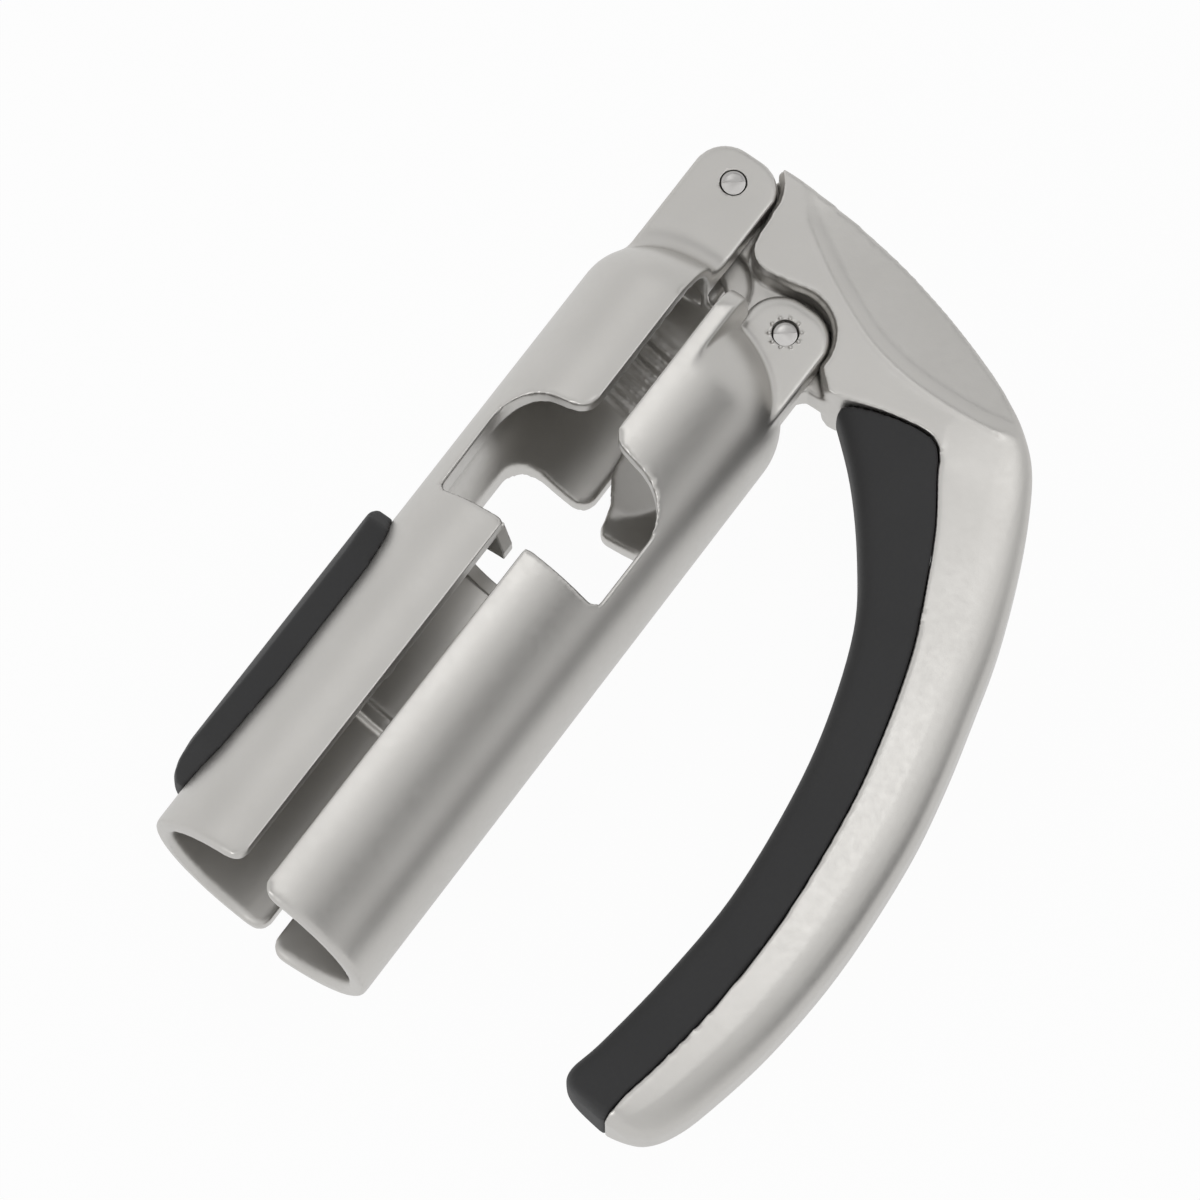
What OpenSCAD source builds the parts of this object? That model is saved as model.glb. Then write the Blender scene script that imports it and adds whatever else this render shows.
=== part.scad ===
// Lever champagne opener. Two half shells stand round the bottle neck, and the lever raises
// the left one along the right one, so that its claw lifts the cork.
// X points to the lever, Y runs along the tube from its mouth to its head, and Z is the
// front. The origin is the centre of the mouth, on the axis of the tube.

/* [Tube] */
// Radius of the bore that takes the bottle neck
bore_r = 17; // [15.5:0.1:19]
// Wall thickness of both shells
wall = 3; // [2.2:0.1:4]
// Gap between the shells at the front
front_slot = 5; // [4:0.1:7]
// Gap between the shells at the back
back_slot = 2.5; // [2:0.1:4]
// Height of the left shell above the right one while the lever is closed
left_rise = 1.5; // [0:0.1:3]
// Radius of the corners where the mouth meets the slots
mouth_corner_r = 2.4; // [1:0.1:4]

/* [Cork window] */
// Height of the window's lower edge above each shell's mouth
window_y = 65; // [60:0.5:68]
// Height of the window at the front
window_h = 20.5; // [16:0.5:24]
// Height of the window at the back
back_window_h = 18.5; // [14:0.5:22]
// Half width of the window at the front
window_half_w = 15.2; // [12:0.1:15.6]
// Half width of the window at the back
back_window_half_w = 13.8; // [11:0.1:14.6]

/* [Seats for bottle and cork] */
// Depth of the bore below the flange that bears on the bottle
neck_depth = 37; // [33:0.5:42]
// How much narrower the cork chamber is than the bore, as a radius
chamber_step = 0.5; // [0.3:0.1:1]
// Thickness of the flange that bears on the bottle
flange_t = 2.4; // [1.8:0.1:3.5]
// Radius of the hole in that flange, which clears the cork
flange_r = 10; // [9:0.1:12]
// Thickness of the claw that lifts the cork
claw_t = 1.5; // [1.2:0.1:2.5]
// Radius of the claw's curved edge
claw_r = 12.4; // [10:0.1:14]
// How far the centre of that edge lies behind the tube's axis
claw_back = 4; // [2:0.1:6]
// Height of the rib inside the left shell
rib_h = 0.8; // [0.4:0.1:1.5]
// Depth of the rings round the cork chamber
ring_depth = 0.4; // [0.2:0.1:0.8]
// Distance from one ring to the next
ring_pitch = 2.8; // [2.2:0.1:4]

/* [Shell heads] */
// Height at which the left shell starts to close
left_shoulder_y = 108.5; // [102:0.5:112]
// Height of the left shell's dome
left_dome_h = 9.5; // [7:0.5:13]
// Radius of the flat crown of that dome
left_crown_r = 9.5; // [6:0.5:12]
// Height at which the right shell starts to close
right_shoulder_y = 102; // [97:0.5:105]
// Height of the right shell's dome
right_dome_h = 15; // [11:0.5:17]
// Height of the right shell's edge walls beside the slot
edge_wall_y = 117.5; // [113:0.5:121]

/* [Ears and pins] */
// Distance of the lower pin from the tube's axis
lower_pin_x = 11.3; // [10.5:0.1:12]
// Height of the lower pin
lower_pin_y = 118.8; // [117:0.1:121]
// Distance between the two pins
pin_span = 25.7; // [24.5:0.1:27]
// Angle of the line from the lower pin to the upper pin
pin_angle = 143.7; // [140:0.1:147]
// Radius of both pins
pin_r = 1.95; // [1.6:0.05:2.4]
// Half width of the ears
ear_half_w = 7; // [6.4:0.1:7.4]
// Corner radius of the ears' ends
ear_corner_r = 5.4; // [4:0.1:6]
// Distance between the outer faces of a pair of ears
ears_w = 15; // [13:0.1:15.4]
// Thickness of the lever's tongue
tongue_t = 6; // [5:0.1:7.5]
// Running clearance round the pins
pin_gap = 0.05; // [0.02:0.01:0.08]
// Clearance between the tongue and the ears, on each side
tongue_gap = 0.3; // [0.2:0.05:0.5]
// Clearance between the ears' edges and the lever's head
ear_gap = 1; // [0.6:0.1:1.6]

/* [Lever] */
// Thickness of the lever's head
head_t = 16; // [15.6:0.1:19]
// Distance from the lower pin out to the lever's belly
lever_reach = 63.7; // [58:0.1:70]
// Distance from the lower pin down to the lever's tip
lever_drop = 114.5; // [104:0.5:118]
// Thickness of the lever at its tip
tip_t = 14; // [11:0.1:17]
// Depth of the scooped hollow on each face of the head
scoop_depth = 0.8; // [0.5:0.1:1.6]

/* [Palm pad] */
// Thickness of the pad
pad_t = 4.2; // [3:0.1:6]
// Width of the pad
pad_w = 20.6; // [16:0.1:24]
// Length of the pad
pad_len = 52.4; // [44:0.1:56]
// Height of the pad's lower end above the left shell's mouth
pad_y = 6.4; // [4:0.1:12]

/* [Hidden] */
$fn = 96;

// One overrun serves all cuts.
over = 1;
metal = [0.73, 0.72, 0.70];
rubber = [0.2, 0.2, 0.2];

// Share of both slots that lies on the left shell's side
left_slot_share = 0.52;

tube_r = bore_r + wall;
chamber_r = bore_r - chamber_step;
slot_left_x = -front_slot * left_slot_share;
slot_right_x = front_slot * (1 - left_slot_share);
back_left_x = -back_slot * left_slot_share;
back_right_x = back_slot * (1 - left_slot_share);
ear_out_z = ears_w / 2;
tongue_z = tongue_t / 2;
ear_in_z = tongue_z + tongue_gap;
head_z = head_t / 2;
tip_z = tip_t / 2;

lower_pin = [lower_pin_x, lower_pin_y];
span_dir = [cos(pin_angle), sin(pin_angle)];
span_up = [sin(pin_angle), -cos(pin_angle)];
upper_pin = lower_pin + pin_span * span_dir;
upper_pin_own = upper_pin - [0, left_rise];
left_step_y = neck_depth - left_rise;
recess_r = ear_half_w + ear_gap;
cut_top = upper_pin.y + 2 * ear_half_w;

// Small radii and lengths of the pieces
window_corner_r = 7;
window_foot_r = 1.2;
window_lip_r = 4;
back_corner_r = 4.6;
back_lip_r = 2.8;
back_lean_x = 3.2;
back_lean_y = 8;
window_slope = 1.7;
mouth_edge_r = 0.8;
seat_drop = 1.2;
pin_chamfer = 0.35;
pin_stand = 0.4;
edge_wall_r = 6;
pad_corner_r = 1.4;
pad_foot_r = 3.4;
nose_r = 4.2;
nose_sink = 0.6;
ledge_w = 0.45;
ledge_z = 4.6;
notch_r = 6.9;
notch_drop = 1.5;
open_angle = 65;
left_notch_r = 16.8;
boss_r = 6;
boss_lobe_r = 8.3;
flare_w = 2.8;
flare_h = 4;
lip_w = 2.1;
lip_h = 0.4;
grip_step = 0.2;
scoop_w = 2.6;
scoop_reach = 25;
scoop_slope = 0.075;

// The handle is drawn in over its last part, and its section goes from square to round
draw_in_share = 0.8;
draw_in_len = 0.23;
round_power = 2.3;
square_power = 14;
power_fade = 9;
grip_power = 3.4;

// Centre of the rounded nose between the two recesses of the head
nose = lower_pin + span_dir * pin_span / 2 + span_up * (nose_r - nose_sink);

// Points of an arc, from one angle to another
function arc(c, r, a, b, n = 12) =
    [for (i = [0:n]) c + r * [cos(a + (b - a) * i / n), sin(a + (b - a) * i / n)]];

// A corner at q, between p and s, rounded to radius r
function corner(p, q, s, r, n = 8) =
    let (u = (p - q) / norm(p - q), v = (s - q) / norm(s - q),
         half = acos(u * v) / 2, c = q + (u + v) / norm(u + v) * r / sin(half),
         f = q + u * r / tan(half) - c, g = q + v * r / tan(half) - c,
         turn = sign(f.x * g.y - f.y * g.x), sweep = acos(min(1, f * g / (r * r))),
         first = atan2(f.y, f.x))
    [for (i = [0:n]) let (a = first + turn * sweep * i / n) c + r * [cos(a), sin(a)]];

// An outline whose corners are [x, y, radius], with radius 0 for a sharp one
function rounded(pts) =
    let (n = len(pts))
    [for (i = [0:n - 1])
        let (p = pts[(i + n - 1) % n], q = pts[i], s = pts[(i + 1) % n])
        each q[2] > 0 ? corner([p.x, p.y], [q.x, q.y], [s.x, s.y], q[2]) : [[q.x, q.y]]];

// A smooth curve through hand-picked points, with n steps in each gap
function curve_at(p, q, s, w, t) =
    0.5 * (2 * q + (s - p) * t + (2 * p - 5 * q + 4 * s - w) * t * t
           + (3 * q - p - 3 * s + w) * t * t * t);
function smooth(pts, n = 4) =
    let (m = len(pts) - 1)
    [for (i = [0:m - 1]) for (k = [0:n - 1])
        curve_at(i == 0 ? 2 * pts[0] - pts[1] : pts[i - 1], pts[i], pts[i + 1],
                 i == m - 1 ? 2 * pts[m] - pts[m - 1] : pts[i + 2], k / n),
     pts[m]];

// A closed loft through rings of equal length, capped by its first and last ring. Rings
// that run the other way round are turned over first.
function total(v, i = 0) = i == len(v) - 1 ? v[i] : v[i] + total(v, i + 1);
function facing(r) = total([for (i = [0:len(r) - 1]) cross(r[i], r[(i + 1) % len(r)])]);
module loft(given) {
    n = len(given[0]);
    m = len(given);
    ahead = facing(given[0]) * (total(given[1]) - total(given[0])) > 0;
    rings = [for (r = given) [for (i = [0:n - 1]) r[ahead ? i : n - 1 - i]]];
    sides = [for (j = [0:m - 2]) for (i = [0:n - 1])
        let (k = (i + 1) % n, a = j * n + i, b = j * n + k, c = a + n, d = b + n)
        each [[a, c, b], [b, c, d]]];
    low = [for (i = [0:n - 1]) i];
    high = [for (i = [n - 1:-1:0]) (m - 1) * n + i];
    polyhedron([for (r = rings) each r], concat(sides, [low, high]));
}

// Places a revolved profile of [radius, height] round the tube's axis
module about_tube() {
    rotate([-90, 0, 0]) rotate_extrude() children();
}

// A quarter of an ellipse that closes a profile, from the wall in to radius r_in
function dome(r_out, r_in, y, h, n = 14) =
    [for (i = [0:n]) [r_in + (r_out - r_in) * cos(90 * i / n), y + h * sin(90 * i / n)]];

// The tube's outside, with a rounded mouth and a domed head
module outer_form(shoulder_y, dome_h, crown_r) {
    about_tube() polygon(concat(
        [[0, 0], [tube_r - mouth_edge_r, 0]],
        arc([tube_r - mouth_edge_r, mouth_edge_r], mouth_edge_r, -90, 0, 5),
        dome(tube_r, crown_r, shoulder_y, dome_h),
        [[0, shoulder_y + dome_h]]));
}

// The hollow inside it: the bore for the neck, then the cork chamber with shallow rings
module inner_form(step_y, shoulder_y, dome_h, crown_r) {
    ring_y = shoulder_y - 3 * ring_pitch;
    about_tube() polygon(concat(
        [[0, -over], [bore_r, -over], [bore_r, step_y], [chamber_r, step_y]],
        [for (i = [0:3]) each [
            [chamber_r, ring_y + i * ring_pitch - ring_pitch / 2],
            [chamber_r + ring_depth, ring_y + i * ring_pitch - ring_pitch / 4],
            [chamber_r, ring_y + i * ring_pitch]]],
        dome(chamber_r, crown_r, shoulder_y + seat_drop, dome_h - wall),
        [[0, shoulder_y + seat_drop + dome_h - wall]]));
}

// An outline pushed through the front half or the back half of the tube
module through(front) {
    reach = tube_r + over;
    translate([0, 0, front ? 0 : -reach]) linear_extrude(reach) children();
}

// What is cut away beside a shell, seen from the front: slot, window and mouth corner.
// side is -1 for the left shell and 1 for the right one.
module cut_outline(side, slot_x, half_w, h, corner_r, lip_r, lean_x, lean_y, slope) {
    far = -side * (tube_r + over);
    polygon(rounded(concat([
        [far, -over, 0],
        [slot_x, -over, 0],
        [slot_x, window_y, 0],
        [side * half_w, window_y, window_foot_r],
        [side * half_w, window_y + h - slope, corner_r],
        [slot_x + side * lean_x, window_y + h, lip_r]],
        lean_y > 0 ? [[slot_x, window_y + h + lean_y, lip_r]] : [], [
        [slot_x, cut_top, 0],
        [far, cut_top, 0]])));
}

// The round that breaks the corner between the mouth and a slot
module mouth_corner(side, slot_x) {
    difference() {
        translate([side > 0 ? slot_x - over : slot_x - mouth_corner_r, -over])
            square([mouth_corner_r + over, mouth_corner_r + over]);
        translate([slot_x + side * mouth_corner_r, mouth_corner_r]) circle(mouth_corner_r);
    }
}

// Half of the tube on one side of the slots, with its window
module shell_cuts(side, front_x, back_x, back_lean) {
    through(true) {
        cut_outline(side, front_x, window_half_w, window_h, window_corner_r, window_lip_r,
                    0, 0, window_slope);
        mouth_corner(side, front_x);
    }
    through(false) {
        cut_outline(side, back_x, back_window_half_w, back_window_h, back_corner_r,
                    back_lip_r, back_lean ? back_lean_x : 0, back_lean ? back_lean_y : 0, 0);
        mouth_corner(side, back_x);
    }
}

// A pair of ears round a pin, from a foot inside the dome
module ears(pin, foot_y) {
    outline = rounded([
        [pin.x - ear_half_w, foot_y, 0], [pin.x + ear_half_w, foot_y, 0],
        [pin.x + ear_half_w, pin.y + ear_corner_r, ear_corner_r],
        [pin.x - ear_half_w, pin.y + ear_corner_r, ear_corner_r]]);
    for (z = [-ear_out_z, ear_in_z])
        translate([0, 0, z]) linear_extrude(ear_out_z - ear_in_z) polygon(outline);
}

// A round bar along Z at a pin's place
module bar(pin, r, half_len) {
    translate([pin.x, pin.y, -half_len]) cylinder(r = r, h = 2 * half_len);
}

// A half ring inside a shell, from the wall in to radius r
module inner_ring(side, slot_x, y, t, r) {
    intersection() {
        about_tube() translate([r, y]) square([bore_r + wall / 2 - r, t]);
        translate([side > 0 ? slot_x : slot_x - 2 * tube_r, y - over, -tube_r])
            cube([2 * tube_r, t + 2 * over, 2 * tube_r]);
    }
}

// Right shell: it bears on the bottle and carries the lower pin
module right_shell() {
    color(metal) {
        difference() {
            union() {
                outer_form(right_shoulder_y, right_dome_h, 0);
                ears(lower_pin, right_shoulder_y);
                edge_walls();
            }
            inner_form(neck_depth, right_shoulder_y, right_dome_h, 0);
            shell_cuts(1, slot_right_x, back_right_x, true);
            tongue_way();
            bar(lower_pin, pin_r, tube_r);
        }
        inner_ring(1, slot_right_x, neck_depth, flange_t, flange_r);
    }
}

// Room in the right shell for the tongue and for the nose of the head, as the lever opens
module tongue_way() {
    r = boss_lobe_r + ear_gap / 2;
    bar(lower_pin, r, ear_in_z);
    translate([0, lower_pin.y - r, -ear_in_z]) cube([lower_pin.x, 2 * r, 2 * ear_in_z]);
    bar(turned(nose, open_angle), nose_r + ledge_w + tongue_gap, head_z + tongue_gap);
}

// A place on the lever after the lever has turned about the lower pin
function turned(p, a) =
    let (v = p - lower_pin) lower_pin + [v.x * cos(a) - v.y * sin(a), v.x * sin(a) + v.y * cos(a)];

// The right shell's edge walls stand up beside the slot, outside the lever's head
module edge_walls() {
    low = right_shoulder_y - wall;
    outline = rounded([
        [-tube_r, low, 0], [tube_r, low, 0],
        [tube_r, edge_wall_y, edge_wall_r], [-tube_r, edge_wall_y, edge_wall_r]]);
    intersection() {
        difference() {
            translate([slot_right_x, 0, 0]) rotate([90, 0, 90])
                linear_extrude(wall) polygon([for (p = outline) [p.y, p.x]]);
            translate([0, low - over, -head_z - tongue_gap])
                cube([tube_r, edge_wall_y, head_t + 2 * tongue_gap]);
        }
        rotate([-90, 0, 0]) cylinder(r = tube_r, h = edge_wall_y + over);
    }
}

// Left shell: it hangs on the upper pin and lifts the cork with its claw
module left_shell() {
    color(metal) translate([0, left_rise, 0]) {
        difference() {
            union() {
                outer_form(left_shoulder_y, left_dome_h, left_crown_r);
                ears(upper_pin_own, left_shoulder_y);
            }
            inner_form(left_step_y, left_shoulder_y, left_dome_h, left_crown_r - wall / 2);
            shell_cuts(-1, slot_left_x, back_left_x, false);
            bar(upper_pin_own, left_notch_r, ear_in_z);
            bar(upper_pin_own, pin_r + pin_gap, tube_r);
        }
        inner_ring(-1, slot_left_x, left_step_y, flange_t, chamber_r - rib_h);
        claw();
    }
}

// The claw is a crescent at the window's lower edge, deepest at the front
module claw() {
    y = window_y - claw_t;
    intersection() {
        rotate([-90, 0, 0]) cylinder(r = bore_r + wall / 2, h = window_y);
        difference() {
            translate([-tube_r, y, -tube_r]) cube([tube_r + slot_left_x, claw_t, 2 * tube_r]);
            translate([0, y - over, -claw_back]) rotate([-90, 0, 0])
                cylinder(r = claw_r, h = claw_t + 2 * over);
        }
    }
}

// Places along the lever, as shares of its reach and drop from the lower pin
inner_shares = [[0.192, 0.037], [0.317, 0.097], [0.452, 0.185], [0.549, 0.271],
                [0.63, 0.396], [0.675, 0.519], [0.699, 0.662], [0.686, 0.797],
                [0.659, 0.914], [0.641, 0.965], [0.655, 0.985], [0.69, 0.994]];
seam_shares = [[0.496, 0.04], [0.576, 0.108], [0.652, 0.193], [0.71, 0.27],
               [0.77, 0.38], [0.81, 0.49], [0.838, 0.65], [0.834, 0.79],
               [0.808, 0.9], [0.79, 0.955], [0.785, 0.98], [0.78, 1]];
outer_shares = [[0.732, 0.016], [0.79, 0.085], [0.852, 0.177], [0.895, 0.26],
                [0.946, 0.375], [0.982, 0.49], [1, 0.65], [0.985, 0.79],
                [0.945, 0.905], [0.915, 0.955], [0.88, 0.982], [0.84, 0.996]];
// The spine starts inside the head: places before the first ones of seam and edge
root_seam_shares = [[0.435, -0.012], [0.464, 0.001], [0.487, 0.019]];
root_edge_shares = [[0.505, -0.107], [0.592, -0.079], [0.667, -0.042]];
root_share = [0.466, -0.028];
top_shares = [[-0.256, -0.188], [-0.2, -0.191], [-0.022, -0.185], [0.16, -0.169],
              [0.306, -0.147], [0.449, -0.119], [0.537, -0.096]];
grip_top_shares = [[0.242, 0.025], [0.317, 0.012], [0.408, 0.003], [0.454, 0.009],
                   [0.484, 0.027]];
// The grip is lofted on past its top end, and cut there along the outline of the head
beyond_shares = [[0.45, -0.019], [0.066, -0.024]];
leaf_shares = [[1, 1.1], [0, 1.1], [0, 0.1], [0.193, 0.057], [0.207, 0.038],
               [0.221, 0.031]];
crease_shares = [[-0.165, -0.172], [-0.1, -0.137], [-0.018, -0.107], [0.064, -0.082],
                 [0.184, -0.054], [0.32, -0.041], [0.44, -0.042], [0.53, -0.05],
                 [0.6, -0.062]];

function lever_point(share) = lower_pin + [share.x * lever_reach, -share.y * lever_drop];
function lever_curve(shares, n = 4) = smooth([for (s = shares) lever_point(s)], n);

// Half thickness of the handle at a share of its length, drawn in at the tip
function handle_z(t) =
    (head_z + (tip_z - head_z) * t)
    * (t < draw_in_share ? 1 : sqrt(1 - pow((t - draw_in_share) / draw_in_len, 2)));

// One ring of the handle, from the seam out to the edge and back. A low power is round.
function ring(seam, edge, z, power, n = 9) =
    concat([for (i = [0:n]) ring_point(seam, edge, z, power, i / n, 1)],
           [for (i = [n - 1:-1:0]) ring_point(seam, edge, z, power, i / n, -1)]);
function ring_point(seam, edge, z, power, t, face) =
    let (s = pow(sin(90 * t), 2 / power), c = pow(cos(90 * t), 2 / power))
    [each (seam + (edge - seam) * s), face * z * c];

// The metal spine behind the grip, square where it leaves the head and round at the tip
module spine() {
    seam = lever_curve(concat(root_seam_shares, seam_shares));
    edge = lever_curve(concat(root_edge_shares, outer_shares));
    m = len(seam) - 1;
    loft([for (i = [0:m])
        ring(seam[i], edge[i], handle_z(i / m),
             round_power + square_power * exp(-i / power_fade))]);
}

// Outline of the lever's head, recessed round the ears. It grows into them for the ledge.
module head_outline(grow) {
    top = lever_curve(top_shares);
    polygon(concat(
        arc(upper_pin, recess_r - grow, 52, 0),
        arc(nose, nose_r + grow, 180, 282),
        arc(lower_pin, recess_r - grow, 113, -8),
        [lower_pin + [recess_r + flare_w - grow, -flare_h],
         lower_pin + [recess_r + flare_w + lip_w, lip_h - flare_h]],
        lever_curve(grip_top_shares),
        [lever_point(root_share)],
        [for (i = [len(top) - 1:-1:1]) top[i]]));
}

module tongue_outline() {
    notch = lower_pin + span_dir * pin_span / 2 - span_up * (notch_r + notch_drop);
    difference() {
        union() {
            translate(upper_pin) circle(boss_r);
            translate(lower_pin) circle(boss_lobe_r);
            polygon([upper_pin - span_up * boss_r, lower_pin - span_up * boss_r,
                     lower_pin + [recess_r + flare_w, -flare_h],
                     lower_pin + [recess_r + 2 * flare_w, recess_r],
                     lower_pin + span_up * (recess_r + flare_w), upper_pin + span_up * boss_r]);
        }
        translate(notch) circle(notch_r);
    }
}

module lever_body() {
    color(metal) difference() {
        union() {
            translate([0, 0, -head_z]) linear_extrude(head_t) head_outline(0);
            translate([0, 0, -ledge_z]) linear_extrude(2 * ledge_z) head_outline(ledge_w);
            translate([0, 0, -tongue_z]) linear_extrude(tongue_t) tongue_outline();
            spine();
        }
        for (face = [-1, 1]) scoop(face);
        bar(lower_pin, pin_r + pin_gap, head_t);
        bar(upper_pin, pin_r + pin_gap, head_t);
    }
}

// The leaf-shaped hollow on a face of the head, from its crease up to the top edge
module scoop(face) {
    crease = lever_curve(crease_shares);
    m = len(crease) - 1;
    loft([for (i = [0:m])
        let (s = sqrt(sin(180 * (i + 1) / (m + 2))), c = crease[i],
             deep = head_z - scoop_depth * s, top = c.y + scoop_reach)
        [[each c, face * head_z], [c.x, c.y + scoop_w, face * deep],
         [c.x, top, face * (deep - scoop_slope * s * (scoop_reach - scoop_w))],
         [c.x, top, face * (head_z + over)], [each c, face * (head_z + over)]]]);
}

// Rubber grip on the inner side of the lever
module lever_grip() {
    seam = lever_curve(seam_shares);
    inner = lever_curve(inner_shares);
    m = len(seam) - 1;
    leaf = [for (s = leaf_shares) lever_point(s)];
    color(rubber) intersection() {
        loft(concat(
            [ring(lever_point(beyond_shares[0]), lever_point(beyond_shares[1]),
                  head_z - grip_step, grip_power)],
            [for (i = [0:m]) ring(seam[i], inner[i], handle_z(i / m) - grip_step, grip_power)]));
        translate([0, 0, -head_z]) linear_extrude(head_t) polygon(concat(
            leaf, lever_curve(grip_top_shares), [seam[0], [leaf[0].x, seam[0].y]]));
    }
}

// Rubber pad under the palm, on the outside of the left shell
module palm_pad() {
    outer = tube_r + pad_t;
    color(rubber) translate([0, left_rise + pad_y, 0]) intersection() {
        about_tube() polygon(rounded([
            [tube_r, 0, 0], [outer, 0, pad_foot_r], [outer, pad_len, pad_corner_r],
            [tube_r, pad_len, 0]]));
        translate([-outer - over, -over, -pad_w / 2])
            cube([outer, pad_len + 2 * over, pad_w]);
    }
}

// A pin with broken edges, from one outer ear face to the other
module pin(place, half_len) {
    translate([place.x, place.y, -half_len]) rotate_extrude() polygon([
        [0, 0], [pin_r - pin_chamfer, 0], [pin_r, pin_chamfer],
        [pin_r, 2 * half_len - pin_chamfer], [pin_r - pin_chamfer, 2 * half_len],
        [0, 2 * half_len]]);
}

module lower_pin() {
    color(metal) pin(lower_pin, ear_out_z);
}

module upper_pin() {
    color(metal) pin(upper_pin, ear_out_z + pin_stand);
}

right_shell();
left_shell();
lever_body();
lever_grip();
palm_pad();
lower_pin();
upper_pin();
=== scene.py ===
"""A lever champagne opener: two cast half shells, a lever with a rubber grip, a palm pad and two pins.

Lengths are millimetres in the part's own frame: X points to the lever, Y runs along the tube
from its mouth to its head, and Z points out of the front.
"""

import logging
import math
from collections.abc import Callable, Iterator, Sequence
from contextlib import contextmanager
from dataclasses import dataclass, field
from enum import Enum

import bpy
from mathutils import Matrix, Vector

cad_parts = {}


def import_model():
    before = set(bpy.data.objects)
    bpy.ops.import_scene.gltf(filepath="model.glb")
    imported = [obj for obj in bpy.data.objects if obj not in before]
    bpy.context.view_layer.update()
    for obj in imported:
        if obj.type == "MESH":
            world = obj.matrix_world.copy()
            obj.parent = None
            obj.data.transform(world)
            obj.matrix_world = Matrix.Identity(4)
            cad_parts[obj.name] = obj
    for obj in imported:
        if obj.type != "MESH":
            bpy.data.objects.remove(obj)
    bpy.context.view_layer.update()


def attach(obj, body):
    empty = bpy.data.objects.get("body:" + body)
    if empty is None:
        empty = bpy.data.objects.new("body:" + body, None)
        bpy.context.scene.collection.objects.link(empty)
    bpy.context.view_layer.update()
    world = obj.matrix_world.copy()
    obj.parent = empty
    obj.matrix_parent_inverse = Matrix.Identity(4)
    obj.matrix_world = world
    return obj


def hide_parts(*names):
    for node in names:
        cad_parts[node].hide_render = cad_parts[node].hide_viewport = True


log = logging.getLogger("opener")

MM = 0.001
MERGE_GAP = 1e-6
TURN_STEPS = 144
ROUND_STEPS = 96
OVERRUN = 1.0
HAIR = 0.05

Flat = tuple[float, float]
Outline = list[Flat]
Ring = list[tuple[float, float, float]]
Weight = Callable[[Vector], float]


class Cut(Enum):
    """How one solid is worked into another."""

    AWAY = "DIFFERENCE"
    ON = "UNION"
    COMMON = "INTERSECT"


class Hand(Enum):
    """The side of the tube that a shell stands on, as the sign of its X."""

    LEFT = -1
    RIGHT = 1


def arc(centre: Flat, radius: float, start: float, end: float, steps: int = 16) -> Outline:
    """Give points along an arc.

    Args:
        centre: The arc's centre.
        radius: Its radius.
        start: The angle of its first point, in degrees.
        end: The angle of its last point, in degrees.
        steps: How many chords it has.

    Returns:
        The points, both ends included.
    """
    angles = [math.radians(start + (end - start) * i / steps) for i in range(steps + 1)]
    return [(centre[0] + radius * math.cos(a), centre[1] + radius * math.sin(a)) for a in angles]


def rounded(corners: Sequence[tuple[float, float, float]], steps: int = 10) -> Outline:
    """Round the corners of a closed outline.

    Args:
        corners: Each corner's x, y and radius, with radius 0 for a sharp one.
        steps: Chords in each round.

    Returns:
        The outline's points.
    """
    outline: Outline = []
    for i, (x, y, radius) in enumerate(corners):
        here = Vector((x, y))
        if radius == 0:
            outline.append((x, y))
            continue
        back = (Vector(corners[i - 1][:2]) - here).normalized()
        ahead = (Vector(corners[(i + 1) % len(corners)][:2]) - here).normalized()
        half = math.acos(max(-1.0, min(1.0, back.dot(ahead)))) / 2
        centre = here + (back + ahead).normalized() * (radius / math.sin(half))
        first = here + back * (radius / math.tan(half)) - centre
        last = here + ahead * (radius / math.tan(half)) - centre
        sweep = first.angle_signed(last)
        start = math.degrees(math.atan2(first.y, first.x))
        outline += arc((centre.x, centre.y), radius, start, start - math.degrees(sweep), steps)
    return outline


def smooth_curve(knots: Sequence[Flat], steps: int = 6) -> Outline:
    """Run a smooth curve through given knots.

    Args:
        knots: The points that the curve passes.
        steps: Chords between one knot and the next.

    Returns:
        The curve's points, from the first knot to the last.
    """
    points = [Vector(k) for k in knots]
    points = [2 * points[0] - points[1], *points, 2 * points[-1] - points[-2]]
    curve: Outline = []
    for a, b, c, d in zip(points, points[1:], points[2:], points[3:]):
        for i in range(steps):
            t = i / steps
            spot = 0.5 * (2 * b + (c - a) * t + (2 * a - 5 * b + 4 * c - d) * t * t
                          + (3 * b - a - 3 * c + d) * t ** 3)
            curve.append((spot.x, spot.y))
    curve.append(tuple(knots[-1]))
    return curve


def turned(spot: Flat, about: Flat, degrees: float) -> Flat:
    """Give a place after a turn about another one, counter-clockwise.

    Args:
        spot: The place.
        about: What it turns about.
        degrees: How far it turns.

    Returns:
        The new place.
    """
    a = math.radians(degrees)
    x, y = spot[0] - about[0], spot[1] - about[1]
    return (about[0] + x * math.cos(a) - y * math.sin(a), about[1] + x * math.sin(a) + y * math.cos(a))


def deselect() -> None:
    """Go back to object mode with nothing selected."""
    if bpy.context.object and bpy.context.object.mode != "OBJECT":
        bpy.ops.object.mode_set(mode="OBJECT")
    bpy.ops.object.select_all(action="DESELECT")


def pick(piece: bpy.types.Object) -> None:
    """Select one piece alone and make it active.

    Args:
        piece: The piece.
    """
    deselect()
    piece.select_set(True)
    bpy.context.view_layer.objects.active = piece


@contextmanager
def editing(piece: bpy.types.Object) -> Iterator[None]:
    """Hold a piece in edit mode with all of it selected.

    Args:
        piece: The piece.

    Yields:
        Nothing.
    """
    pick(piece)
    bpy.ops.object.mode_set(mode="EDIT")
    bpy.ops.mesh.select_all(action="SELECT")
    yield
    bpy.ops.object.mode_set(mode="OBJECT")


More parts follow.
